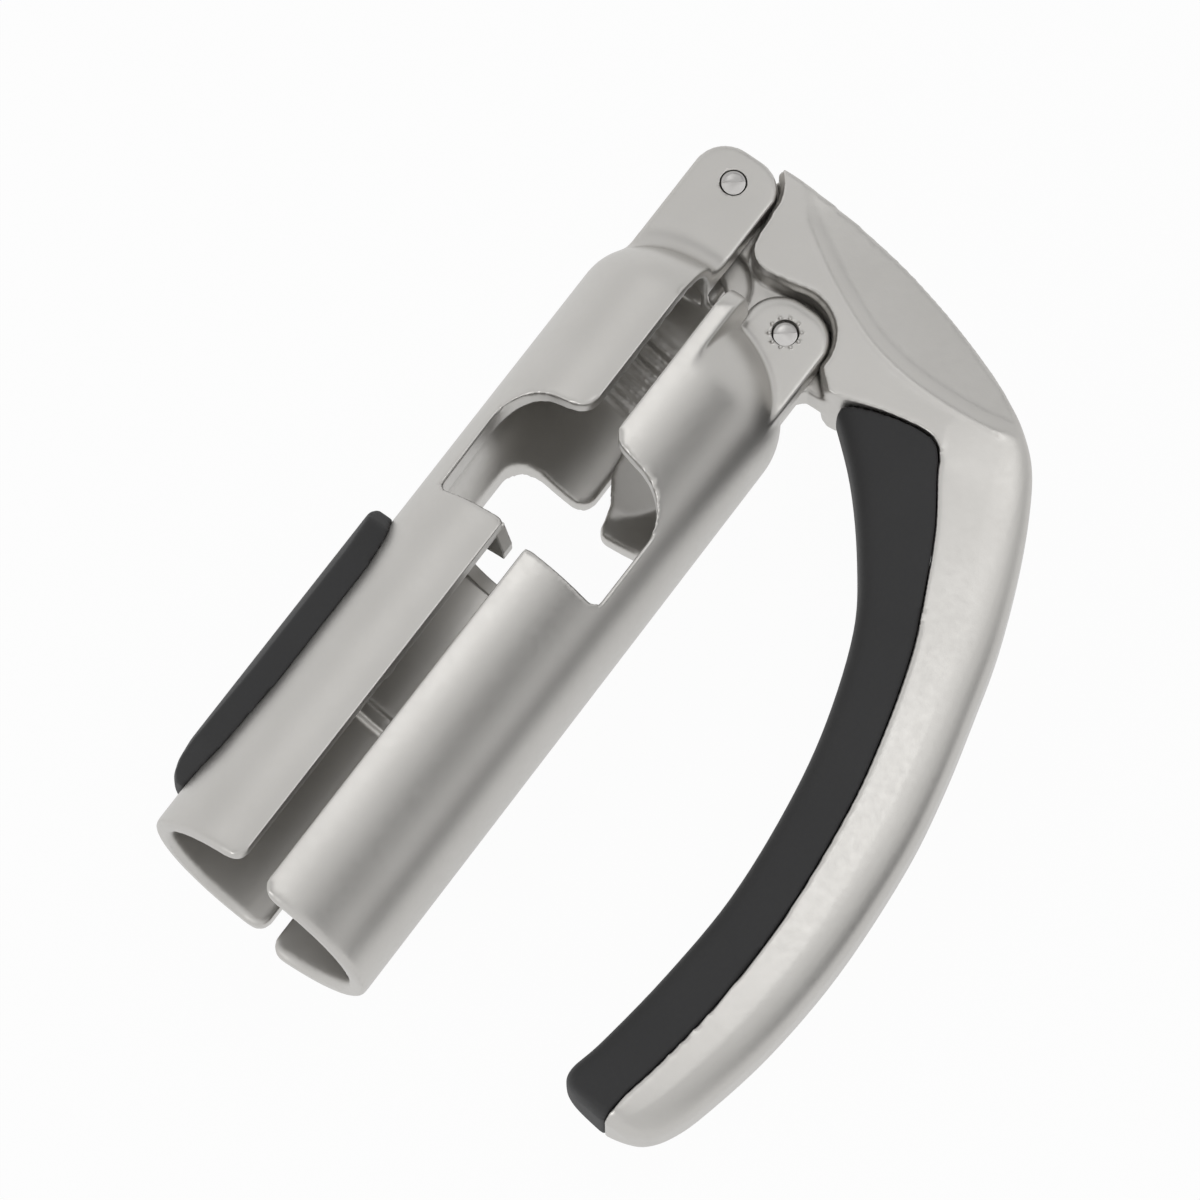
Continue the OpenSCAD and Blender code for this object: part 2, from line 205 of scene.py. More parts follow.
def plate(name: str, corners: Sequence[Sequence[float]], filled: bool = True) -> bpy.types.Object:
    """Lay a flat plate, or its rim alone, with a corner at each place.

    Args:
        name: The new piece's name.
        corners: The places, in order round the rim.
        filled: Whether the rim holds a face.

    Returns:
        The piece.
    """
    deselect()
    fill = "NGON" if filled else "NOTHING"
    bpy.ops.mesh.primitive_circle_add(vertices=len(corners), radius=MM, fill_type=fill)
    piece = bpy.context.object
    piece.name = name
    for vertex, corner in zip(piece.data.vertices, corners):
        vertex.co = Vector(corner) * MM
    return piece


def prism(name: str, outline: Outline, low: float, high: float) -> bpy.types.Object:
    """Extrude an outline in the X-Y plane from one height to another.

    Args:
        name: The new piece's name.
        outline: The closed outline.
        low: Its lowest Z.
        high: Its highest Z.

    Returns:
        The piece.
    """
    piece = plate(name, [(x, y, low) for x, y in outline])
    with editing(piece):
        bpy.ops.mesh.extrude_region_move(TRANSFORM_OT_translate={"value": (0, 0, (high - low) * MM)})
        bpy.ops.mesh.select_all(action="SELECT")
        bpy.ops.mesh.normals_make_consistent(inside=False)
    return piece


def spun(name: str, profile: Outline) -> bpy.types.Object:
    """Turn a profile round the tube's axis.

    Args:
        name: The new piece's name.
        profile: Points of radius and height. The first and the last lie on the axis.

    Returns:
        The piece, closed at both poles.
    """
    piece = plate(name, [(radius, height, 0) for radius, height in profile], filled=False)
    last = len(profile) - 1
    pick(piece)
    bpy.ops.object.mode_set(mode="EDIT")
    bpy.ops.mesh.select_all(action="DESELECT")
    bpy.ops.mesh.select_mode(type="EDGE")
    bpy.ops.object.mode_set(mode="OBJECT")
    for edge in piece.data.edges:
        edge.select = set(edge.vertices) == {0, last}
    bpy.ops.object.mode_set(mode="EDIT")
    bpy.ops.mesh.delete(type="EDGE")
    bpy.ops.mesh.select_mode(type="VERT")
    bpy.ops.mesh.select_all(action="SELECT")
    bpy.ops.mesh.spin(steps=TURN_STEPS, angle=math.tau, center=(0, 0, 0), axis=(0, 1, 0))
    bpy.ops.mesh.select_all(action="SELECT")
    bpy.ops.mesh.remove_doubles(threshold=MERGE_GAP)
    bpy.ops.mesh.dissolve_degenerate(threshold=MERGE_GAP)
    bpy.ops.mesh.select_all(action="SELECT")
    bpy.ops.mesh.normals_make_consistent(inside=False)
    bpy.ops.object.mode_set(mode="OBJECT")
    return piece


def lofted(name: str, rings: Sequence[Ring]) -> bpy.types.Object:
    """Extrude a ring's face from ring to ring.

    Args:
        name: The new piece's name.
        rings: Rings with as many corners each, in order along the piece.

    Returns:
        The piece, closed at both ends.
    """
    piece = plate(name, rings[0])
    with editing(piece):
        for before, ring in zip(rings, rings[1:]):
            bpy.ops.mesh.extrude_region_move()
            bpy.ops.object.mode_set(mode="OBJECT")
            goals = list(zip([Vector(c) * MM for c in before], [Vector(c) * MM for c in ring]))
            for vertex in piece.data.vertices:
                if vertex.select:
                    vertex.co = min(goals, key=lambda goal: (goal[0] - vertex.co).length_squared)[1]
            bpy.ops.object.mode_set(mode="EDIT")
        bpy.ops.mesh.select_all(action="SELECT")
        bpy.ops.mesh.normals_make_consistent(inside=False)
    return piece


def settled(name: str) -> bpy.types.Object:
    """Name the newest primitive, and work its place, turn and size into its mesh.

    Args:
        name: The piece's name.

    Returns:
        The piece.
    """
    piece = bpy.context.object
    piece.name = name
    bpy.ops.object.transform_apply(location=True, rotation=True, scale=True)
    return piece


def bar(name: str, centre: Flat, radius: float, low: float, high: float) -> bpy.types.Object:
    """Stand a round bar along Z.

    Args:
        name: The new piece's name.
        centre: Its centre in X and Y.
        radius: Its radius.
        low: Its lowest Z.
        high: Its highest Z.

    Returns:
        The piece.
    """
    deselect()
    bpy.ops.mesh.primitive_cylinder_add(
        vertices=ROUND_STEPS, radius=radius * MM, depth=(high - low) * MM,
        location=(centre[0] * MM, centre[1] * MM, (low + high) / 2 * MM))
    return settled(name)


def bar_along(name: str, radius: float, low: float, high: float, centre: Flat = (0, 0)) -> bpy.types.Object:
    """Lay a round bar along Y.

    Args:
        name: The new piece's name.
        radius: Its radius.
        low: Its lowest Y.
        high: Its highest Y.
        centre: Its centre in X and Z.

    Returns:
        The piece.
    """
    deselect()
    bpy.ops.mesh.primitive_cylinder_add(
        vertices=TURN_STEPS, radius=radius * MM, depth=(high - low) * MM,
        location=(centre[0] * MM, (low + high) / 2 * MM, centre[1] * MM), rotation=(math.pi / 2, 0, 0))
    return settled(name)


def ball(centre: Flat, height: float, radius: float, segments: int, rings: int) -> bpy.types.Object:
    """Place a ball.

    Args:
        centre: Its centre in X and Y.
        height: Its centre's Z.
        radius: Its radius.
        segments: Faces round it.
        rings: Faces from pole to pole.

    Returns:
        The ball.
    """
    deselect()
    bpy.ops.mesh.primitive_uv_sphere_add(
        segments=segments, ring_count=rings, radius=radius * MM,
        location=(centre[0] * MM, centre[1] * MM, height * MM))
    return bpy.context.object


def block(name: str, low: Sequence[float], high: Sequence[float]) -> bpy.types.Object:
    """Place a block.

    Args:
        name: The new piece's name.
        low: Its lowest corner.
        high: Its highest corner.

    Returns:
        The piece.
    """
    deselect()
    middle = [(a + b) / 2 * MM for a, b in zip(low, high)]
    bpy.ops.mesh.primitive_cube_add(size=1, location=middle, scale=[(b - a) * MM for a, b in zip(low, high)])
    return settled(name)


def work(piece: bpy.types.Object, tool: bpy.types.Object, cut: Cut) -> None:
    """Work one solid into another, and clear it away.

    Args:
        piece: The solid that stays.
        tool: The solid that is used up.
        cut: How the two are combined.
    """
    pick(piece)
    change = piece.modifiers.new(cut.name, "BOOLEAN")
    change.operation = cut.value
    change.solver = "MANIFOLD"
    change.object = tool
    bpy.ops.object.modifier_apply(modifier=change.name)
    mesh = tool.data
    bpy.data.objects.remove(tool)
    bpy.data.meshes.remove(mesh)
    if not piece.data.polygons:
        raise RuntimeError(f"{piece.name} lost all its faces")


def apply(piece: bpy.types.Object, kind: str, **settings: object) -> None:
    """Add a modifier with its settings and apply it.

    Args:
        piece: The piece.
        kind: The modifier's type.
        **settings: The modifier's settings, by name.
    """
    pick(piece)
    change = piece.modifiers.new(kind.title(), kind)
    for name, value in settings.items():
        setattr(change, name, value)
    bpy.ops.object.modifier_apply(modifier=change.name)


def soften(piece: bpy.types.Object, weight: Weight, passes: int) -> None:
    """Smooth only where a weight says so, as a caster blends a root.

    Args:
        piece: A piece with a fine even mesh.
        weight: Gives 0 to 1 for a place in millimetres.
        passes: How often the surface is smoothed.
    """
    group = piece.vertex_groups.new(name="soft")
    for vertex in piece.data.vertices:
        amount = weight(vertex.co / MM)
        if amount > 0:
            group.add([vertex.index], amount, "REPLACE")
    apply(piece, "SMOOTH", factor=0.5, iterations=passes, vertex_group=group.name)
    piece.vertex_groups.clear()


def cast(piece: bpy.types.Object, grain: float, passes: int) -> None:
    """Give a piece one even skin and the soft edges of a casting.

    Args:
        piece: The piece.
        grain: The mesh's width, in millimetres.
        passes: How often its edges are smoothed.
    """
    apply(piece, "REMESH", mode="VOXEL", voxel_size=grain * MM, use_smooth_shade=True)
    apply(piece, "SMOOTH", factor=0.5, iterations=passes)


def near(value: float, goal: float, reach: float) -> float:
    """Give 1 at the goal, falling to 0 at the reach on either side."""
    return max(0.0, 1.0 - abs(value - goal) / reach)


def dress(piece: bpy.types.Object, finish: bpy.types.Material, body: str, node: str) -> None:
    """Give a piece its finish, and tell the frame what it stands for.

    Args:
        piece: The piece.
        finish: Its material.
        body: The body that it moves with.
        node: The solid that it replaces.
    """
    piece.data.materials.clear()
    piece.data.materials.append(finish)
    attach(piece, body)
    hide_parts(node)
    log.info("%s rides on %s with %d faces", piece.name, body, len(piece.data.polygons))


@dataclass(frozen=True)
class Pivots:
    """The two pins, and what is worked out from them."""

    lower: Flat = (11.3, 118.8)
    upper: Flat = (-9.41, 134.02)
    pin_radius: float = 1.95
    ear_half: float = 7.0
    ear_outside: float = 7.5
    ear_inside: float = 3.3
    recess: float = 7.8
    nose_rise: float = 3.57
    lower_sunk: float = 0.15
    upper_proud: float = 0.35

    def along(self, share: float, rise: float) -> Flat:
        """Give a place beside the line from the lower pin to the upper.

        Args:
            share: Its share of the way along the line.
            rise: How far it stands off, towards the lever.

        Returns:
            The place.
        """
        start, end = Vector(self.lower), Vector(self.upper)
        way = (end - start).normalized()
        spot = start + (end - start) * share + Vector((way.y, -way.x)) * rise
        return (spot.x, spot.y)

    def nose(self) -> Flat:
        """Give the centre of the lever's nose between the ears."""
        return self.along(0.5, self.nose_rise)


@dataclass
class HalfShell:
    """One half of the tube, with its window, dome and ears.

    The shell is built in its own frame, with its mouth at height 0, and is then raised.
    """

    hand: Hand
    node: str
    rides: str
    rise: float
    slot: float
    back_slot: float
    shoulder: float
    dome_height: float
    crown: float
    step: float
    pin: Flat
    ear_round: float
    ear_bevel: float
    back_trim: float
    root_passes: int
    pivots: Pivots = field(default_factory=Pivots)
    outside: float = 20.0
    inside: float = 17.0
    chamber: float = 16.5
    mouth_round: float = 0.8
    mouth_corner: float = 2.4
    mouth_flare: float = 0.6
    window_low: float = 65.0
    slot_corner: float = 0.9
    ring_count: int = 12
    ring_drop: float = 10.0
    ring_pitch: float = 1.4
    ring_deep: float = 0.8
    roof_rise: float = 3.2
    roof_thick: float = 2.0
    ear_draw: float = 0.6
    ear_steps: int = 6
    root_weight: float = 1.6
    root_rise: float = 0.6
    root_reach: float = 3.2
    root_side: float = 3.0
    pin_gap: float = 0.18
    passes: int = 5
    grain: float = 0.44

    @staticmethod
    def dome(radius: float, crown: float, base: float, height: float, steps: int = 24) -> Outline:
        """Give the profile of a closing dome, from the wall in to the axis.

        Args:
            radius: The wall's radius.
            crown: The flat crown's radius.
            base: Where the dome starts.
            height: How tall it is.
            steps: Chords in its curve.

        Returns:
            The profile.
        """
        curve = [(crown + (radius - crown) * math.cos(math.pi / 2 * i / steps),
                  base + height * math.sin(math.pi / 2 * i / steps)) for i in range(steps)]
        return [*curve, *([(crown, base + height)] if crown else []), (0, base + height)]

    def outer(self) -> bpy.types.Object:
        """Turn the outside, solid, from the rounded mouth to the top of the dome.

        Returns:
            The solid.
        """
        low = self.mouth_round
        return spun(self.node, [
            (0, 0), (self.outside - low, 0), *arc((self.outside - low, low), low, -90, 0, 6)[1:],
            *self.dome(self.outside, self.crown, self.shoulder, self.dome_height)])

    def hollow(self) -> bpy.types.Object:
        """Turn the inside: the bore, the step that meets the bottle and the ringed chamber.

        Returns:
            The solid that is cut away.
        """
        rings = [(self.chamber + (self.ring_deep if i % 2 else 0),
                  self.shoulder - self.ring_drop + i * self.ring_pitch) for i in range(self.ring_count)]
        wall = self.outside - self.inside
        return spun("hollow", [
            (0, -OVERRUN), (self.inside + self.mouth_flare, -OVERRUN), (self.inside + self.mouth_flare, 0),
            (self.inside, self.mouth_round),
            (self.inside, self.step), (self.chamber, self.step), *rings,
            *self.dome(self.chamber, max(0.0, self.crown - wall / 2), self.shoulder + self.roof_rise,
                       self.dome_height - wall - self.roof_thick)])

    def outline(self, corners: Sequence[tuple[float, float, float]], slot: float) -> Outline:
        """Give all that is cut away beside the shell: the mouth's corner, slot and window.

        Args:
            corners: The window's own corners from its foot to the slot above it.
            slot: Where the shell's edge stands.

        Returns:
            The closed outline.
        """
        far = -self.hand.value * (self.outside + OVERRUN)
        foot = slot + self.hand.value * self.mouth_corner
        top = self.pivots.upper[1] + 3 * self.pivots.ear_half
        return rounded([
            (far, -OVERRUN, 0), (foot + self.hand.value * HAIR, -OVERRUN, 0),
            (foot + self.hand.value * HAIR, 0, 0), (slot, 0, self.mouth_corner),
            (slot, self.window_low, self.slot_corner), *corners, (slot, top, 0), (far, top, 0)])

    def front_window(self) -> list[tuple[float, float, float]]:
        """Give the corners of the window's front half."""
        raise NotImplementedError

    def back_window(self) -> list[tuple[float, float, float]]:
        """Give the corners of the window's back half."""
        raise NotImplementedError

    def ears(self) -> list[bpy.types.Object]:
        """Loft the two ears, with rounded ends and edges that fall away to the left and the top.

        Returns:
            The ears, the back one first.
        """
        x, y = self.pin
        half, reach, soft = self.pivots.ear_half, self.ear_round, self.ear_bevel
        steps = [(0.0, self.pivots.ear_inside)]
        for i in range(self.ear_steps + 1):
            turn = math.pi / 2 * i / self.ear_steps
            steps.append((soft * (1 - math.cos(turn)), self.pivots.ear_outside - soft * (1 - math.sin(turn))))
        pair = []
        for face in (-1, 1):
            right = x + half - (self.back_trim if face < 0 else 0)
            rings: list[Ring] = []
            for inset, z in steps:
                left, top, radius = x - half + inset, y + reach - inset, reach - inset * self.ear_draw
                side = rounded([(left, self.shoulder, 0), (right, self.shoulder, 0), (right, top, radius),
                                (left, top, radius)], 20)
                rings.append([(a, b, face * z) for a, b in side])
            pair.append(lofted("ear", rings))
        return pair

    def dome_at(self, x: float, z: float) -> float:
        """Give the dome's height over a place, for blending the ears' roots.

        Args:
            x: The place's X.
            z: The place's Z.

        Returns:
            The height.
        """
        radius = math.hypot(x, z)
        share = max(0.0, min(1.0, (radius - self.crown) / (self.outside - self.crown)))
        return self.shoulder + self.dome_height * math.sqrt(1 - share * share)

    def root(self, spot: Vector) -> float:
        """Weigh how near a place is to where the ears grow out of the dome.

        Args:
            spot: The place.

        Returns:
            0 for far, and up to 1 for near.
        """
        if spot.y < self.shoulder or abs(spot.z) > self.pivots.ear_outside + self.root_side:
            return 0.0
        height = self.dome_at(spot.x, spot.z) + self.root_rise
        return min(1.0, self.root_weight * near(spot.y, height, self.root_reach))

    def build(self) -> bpy.types.Object:
        """Build the shell from solid, cut it open and give it its cast skin.

        Returns:
            The shell.
        """
        shell = self.outer()
        for ear in self.ears():
            work(shell, ear, Cut.ON)
        self.add_outside(shell)
        work(shell, self.hollow(), Cut.AWAY)
        reach = self.outside + OVERRUN
        self.add_inside(shell)
        front = self.outline(self.front_window(), self.slot)
        back = self.outline(self.back_window(), self.back_slot)
        work(shell, prism("front cut", front, -OVERRUN / 2, reach), Cut.AWAY)
        work(shell, prism("back cut", back, -reach, 0), Cut.AWAY)
        self.finish_shape(shell)
        cast(shell, self.grain, self.passes)
        soften(shell, self.root, self.root_passes)
        hole = self.pivots.pin_radius + self.pin_gap
        work(shell, bar("pin hole", self.pin, hole, -reach, reach), Cut.AWAY)
        self.detail(shell)
        with editing(shell):
            bpy.ops.transform.translate(value=(0, self.rise * MM, 0))
        return shell

    def make(self, zinc: bpy.types.Material) -> None:
        """Build the shell and dress it."""
        dress(self.build(), zinc, self.rides, self.node)

    def add_outside(self, shell: bpy.types.Object) -> None:
        """Add what stands on the outside."""

    def add_inside(self, shell: bpy.types.Object) -> None:
        """Add what stands on the inside."""

    def finish_shape(self, shell: bpy.types.Object) -> None:
        """Make the cuts that leave room for the lever."""

    def detail(self, shell: bpy.types.Object) -> None:
        """Add what is finer than the cast skin."""

    def inner_ring(self, low: float, high: float, radius: float) -> bpy.types.Object:
        """Make a ring that stands in from the wall.

        Args:
            low: Its lowest Y.
            high: Its highest Y.
            radius: The radius of its hole.

        Returns:
            The ring.
        """
        ring = bar_along("ring", self.chamber + OVERRUN, low, high)
        work(ring, bar_along("ring hole", radius, low - OVERRUN, high + OVERRUN), Cut.AWAY)
        return ring


@dataclass
class LeftShell(HalfShell):
    """The shell that rises, with the claw under its window."""

    hand: Hand = Hand.LEFT
    node: str = "left_shell"
    rides: str = "lifter"
    rise: float = 1.5
    slot: float = -2.6
    back_slot: float = -1.3
    shoulder: float = 108.5
    dome_height: float = 9.5
    crown: float = 9.5
    step: float = 35.5
    pin: Flat = (-9.41, 132.52)
    ear_round: float = 5.4
    ear_bevel: float = 0.3
    back_trim: float = 0.0
    root_passes: int = 12
    root_radius: float = 3.6
    root_rings: int = 24
    root_steps: int = 8
    root_bury: float = 1.5
    rib_height: float = 2.4
    rib_deep: float = 0.8
    claw_radius: float = 12.4
    claw_back: float = -4.0
    claw_thick: float = 2.2
    claw_root: float = 1.2
    claw_round: float = 0.3
    claw_plan: tuple[Flat, ...] = (
        (-20.0, -20.0), (-1.4, -20.0), (-1.4, 11.0), (-2.6, 17.4), (-2.6, 20.0), (-20.0, 20.0))
    tongue_room: float = 16.8

    def front_window(self) -> list[tuple[float, float, float]]:
        """Give the corners of the window's front half."""
        return [(-15.0, self.window_low, 1.2), (-15.4, 84.9, 7.0), (self.slot, 86.1, 3.2)]

    def back_window(self) -> list[tuple[float, float, float]]:
        """Give the corners of the window's back half."""
        return [(-13.8, self.window_low, 1.2), (-13.8, 82.8, 4.6), (self.back_slot, 82.8, 2.8)]

    def add_outside(self, shell: bpy.types.Object) -> None:
        """Fill the roots of the ears with a hollow fillet that follows the dome.

        Args:
            shell: The shell.
        """
        left, right, radius = self.pin[0] - self.pivots.ear_half, 0.0, self.root_radius
        near_z, far_z = self.pivots.ear_outside, self.pivots.ear_outside + radius
        for face in (-1, 1):
            rings: list[Ring] = []
            for i in range(self.root_rings + 1):
                x = left + (right - left) * i / self.root_rings
                top, foot = self.dome_at(x, near_z) + radius, self.dome_at(x, far_z)
                turns = [math.pi / 2 * k / self.root_steps for k in range(self.root_steps + 1)]
                arch = [(x, foot + (top - foot) * (1 - math.sin(turn)),
                         face * (near_z + radius * (1 - math.cos(turn)))) for turn in turns]
                low, inner = foot - self.root_bury, face * (near_z - self.root_bury)
                rings.append([*arch, (x, low, face * far_z), (x, low, inner), (x, top, inner)])
            root = lofted("root", rings)
            work(root, bar_along("tube", self.outside, 0, self.pin[1]), Cut.COMMON)
            work(shell, root, Cut.ON)

    def add_inside(self, shell: bpy.types.Object) -> None:
        """Add the rib that steadies the bottle."""
        rib = self.inner_ring(self.step, self.step + self.rib_height, self.chamber - self.rib_deep)
        work(shell, rib, Cut.ON)

    def detail(self, shell: bpy.types.Object) -> None:
        """Add the claw, whose blunt end stands out past the shell's edge.

        Args:
            shell: The shell.
        """
        low = self.window_low - self.claw_thick
        claw = bar_along("claw", self.inside + self.claw_root, low, self.window_low)
        hole = bar_along("claw edge", self.claw_radius, low - OVERRUN, self.window_low + OVERRUN,
                         (0, self.claw_back))
        work(claw, hole, Cut.AWAY)
        heights = (low - OVERRUN, self.window_low + OVERRUN)
        work(claw, lofted("claw plan", [[(x, y, z) for x, z in self.claw_plan] for y in heights]), Cut.COMMON)
        apply(claw, "BEVEL", width=self.claw_round * MM, segments=2, limit_method="ANGLE",
              angle_limit=math.radians(40))
        work(shell, claw, Cut.ON)

    def finish_shape(self, shell: bpy.types.Object) -> None:
        """Let the lever's tongue in between the ears.

        Args:
            shell: The shell.
        """
        room = bar("tongue room", self.pin, self.tongue_room, -self.pivots.ear_inside, self.pivots.ear_inside)
        work(shell, room, Cut.AWAY)


@dataclass
class RightShell(HalfShell):
    """The shell that stands on the bottle, with edge walls beside the lever's way."""

    hand: Hand = Hand.RIGHT
    node: str = "right_shell"
    rides: str = "base"
    rise: float = 0.0
    slot: float = 2.4
    back_slot: float = 1.2
    shoulder: float = 102.0
    dome_height: float = 15.0
    crown: float = 0.0
    step: float = 37.0
    pin: Flat = (11.3, 118.8)
    ear_round: float = 5.9
    ear_bevel: float = 1.8
    back_trim: float = 1.6
    root_passes: int = 1
    flange: float = 2.4
    flange_radius: float = 10.0
    wall_thick: float = 3.0
    wall_top: float = 117.5
    wall_round: float = 6.0
    head_half: float = 8.3
    tongue_room: float = 8.8
    open_angle: float = 65.0
    nose_room: float = 4.95
    groove: float = 2.15
    groove_deep: float = 0.7
    stakes: int = 10
    stake_circle: float = 2.45
    stake_radius: float = 0.35
    stake_sunk: float = 0.12
    guide_low: float = 86.2
    guide_right: float = 14.0
    guide_foot: float = 0.1
    guide_bury: float = 0.5
    tab_right: float = 5.0
    tab_back: float = 0.35
    guide_slope: float = 0.45
    guide_edge: tuple[Flat, ...] = ((1.4, 86.2), (1.2, 87.2), (-1.2, 91.0), (-2.0, 96.0), (-2.2, 99.0))

    def front_window(self) -> list[tuple[float, float, float]]:
        """Give the corners of the window's front half."""
        return [(15.0, self.window_low, 1.2), (15.1, 84.6, 7.4), (self.slot, 86.3, 3.2)]

    def back_window(self) -> list[tuple[float, float, float]]:
        """Give the corners of the window's back half."""
        return [(13.8, self.window_low, 1.2), (13.8, 82.3, 2.5), (2.4, 82.3, 2.0),
                (self.back_slot, 88.0, 3.0)]

    def add_outside(self, shell: bpy.types.Object) -> None:
        """Stand the edge walls up beside the slot, with rounded tops.

        Args:
            shell: The shell.
        """
        low, top, wide = self.shoulder - self.wall_round, self.wall_top, self.outside
        side = rounded([(wide, low, 0), (-wide, low, 0), (-wide, top, self.wall_round),
                        (wide, top, self.wall_round)])
        wall = lofted("edge wall", [[(x, y, z) for z, y in side]
                                    for x in (self.slot, self.slot + self.wall_thick)])
        work(wall, bar_along("tube", self.outside, 0, top + OVERRUN), Cut.COMMON)
        half = self.head_half
        room = block("head room", (0, low - OVERRUN, -half), (self.outside, top + OVERRUN, half))
        work(wall, room, Cut.AWAY)
        work(shell, wall, Cut.ON)

    def add_inside(self, shell: bpy.types.Object) -> None:
        """Add the flange that bears on the bottle."""
        work(shell, self.inner_ring(self.step, self.step + self.flange, self.flange_radius), Cut.ON)

    def finish_shape(self, shell: bpy.types.Object) -> None:
        """Add the guide, and leave room for the tongue and the nose of the opening lever.

        Args:
            shell: The shell.
        """
        self.add_guide(shell)
        half, room = self.pivots.ear_inside, self.tongue_room
        work(shell, bar("tongue room", self.pin, room, -half, half), Cut.AWAY)
        low = self.pin[1] - room
        work(shell, block("tongue way", (0, low, -half), (self.pin[0], low + 2 * room, half)), Cut.AWAY)
        nose = turned(self.pivots.nose(), self.pin, self.open_angle)
        work(shell, bar("nose room", nose, self.nose_room, -self.head_half, self.head_half), Cut.AWAY)

    def add_guide(self, shell: bpy.types.Object) -> None:
        """Loft the sloped guide inside the back wall, whose tab reaches behind the left shell.

        Args:
            shell: The shell.
        """
        foot, depth = -self.chamber + self.guide_foot, -self.inside - self.guide_bury
        edge = self.back_slot + self.guide_foot
        for name, left, right, out in (
                ("guide", edge, self.guide_right, depth),
                ("guide tab", -self.outside, self.tab_right, -self.chamber + self.tab_back)):
            rings: list[Ring] = []
            for x, y in self.guide_edge:
                face = max(out + HAIR, foot + self.guide_slope * (y - self.guide_low))
                start = max(x, left)
                rings.append([(start, y, face), (right, y, face), (right, y, out), (start, y, out)])
            guide = lofted(name, rings)
            work(guide, bar_along("tube", self.inside + self.guide_bury, 0, self.shoulder), Cut.COMMON)
            work(shell, guide, Cut.ON)

    def detail(self, shell: bpy.types.Object) -> None:
        """Turn a groove round the pin's end, and stake the metal beside it with small marks.

        Args:
            shell: The shell.
        """
        face, (x, y) = self.pivots.ear_outside, self.pin
        groove = bar("groove", self.pin, self.groove, face - self.groove_deep, face + OVERRUN)
        work(shell, groove, Cut.AWAY)
        marks = []
        for i in range(self.stakes):
            angle = math.tau * i / self.stakes
            spot = (x + self.stake_circle * math.cos(angle), y + self.stake_circle * math.sin(angle))
            marks.append(ball(spot, face - self.stake_sunk, self.stake_radius, 16, 10))
        for mark in marks:
            mark.select_set(True)
        bpy.ops.object.join()
        work(shell, settled("stakes"), Cut.ON)


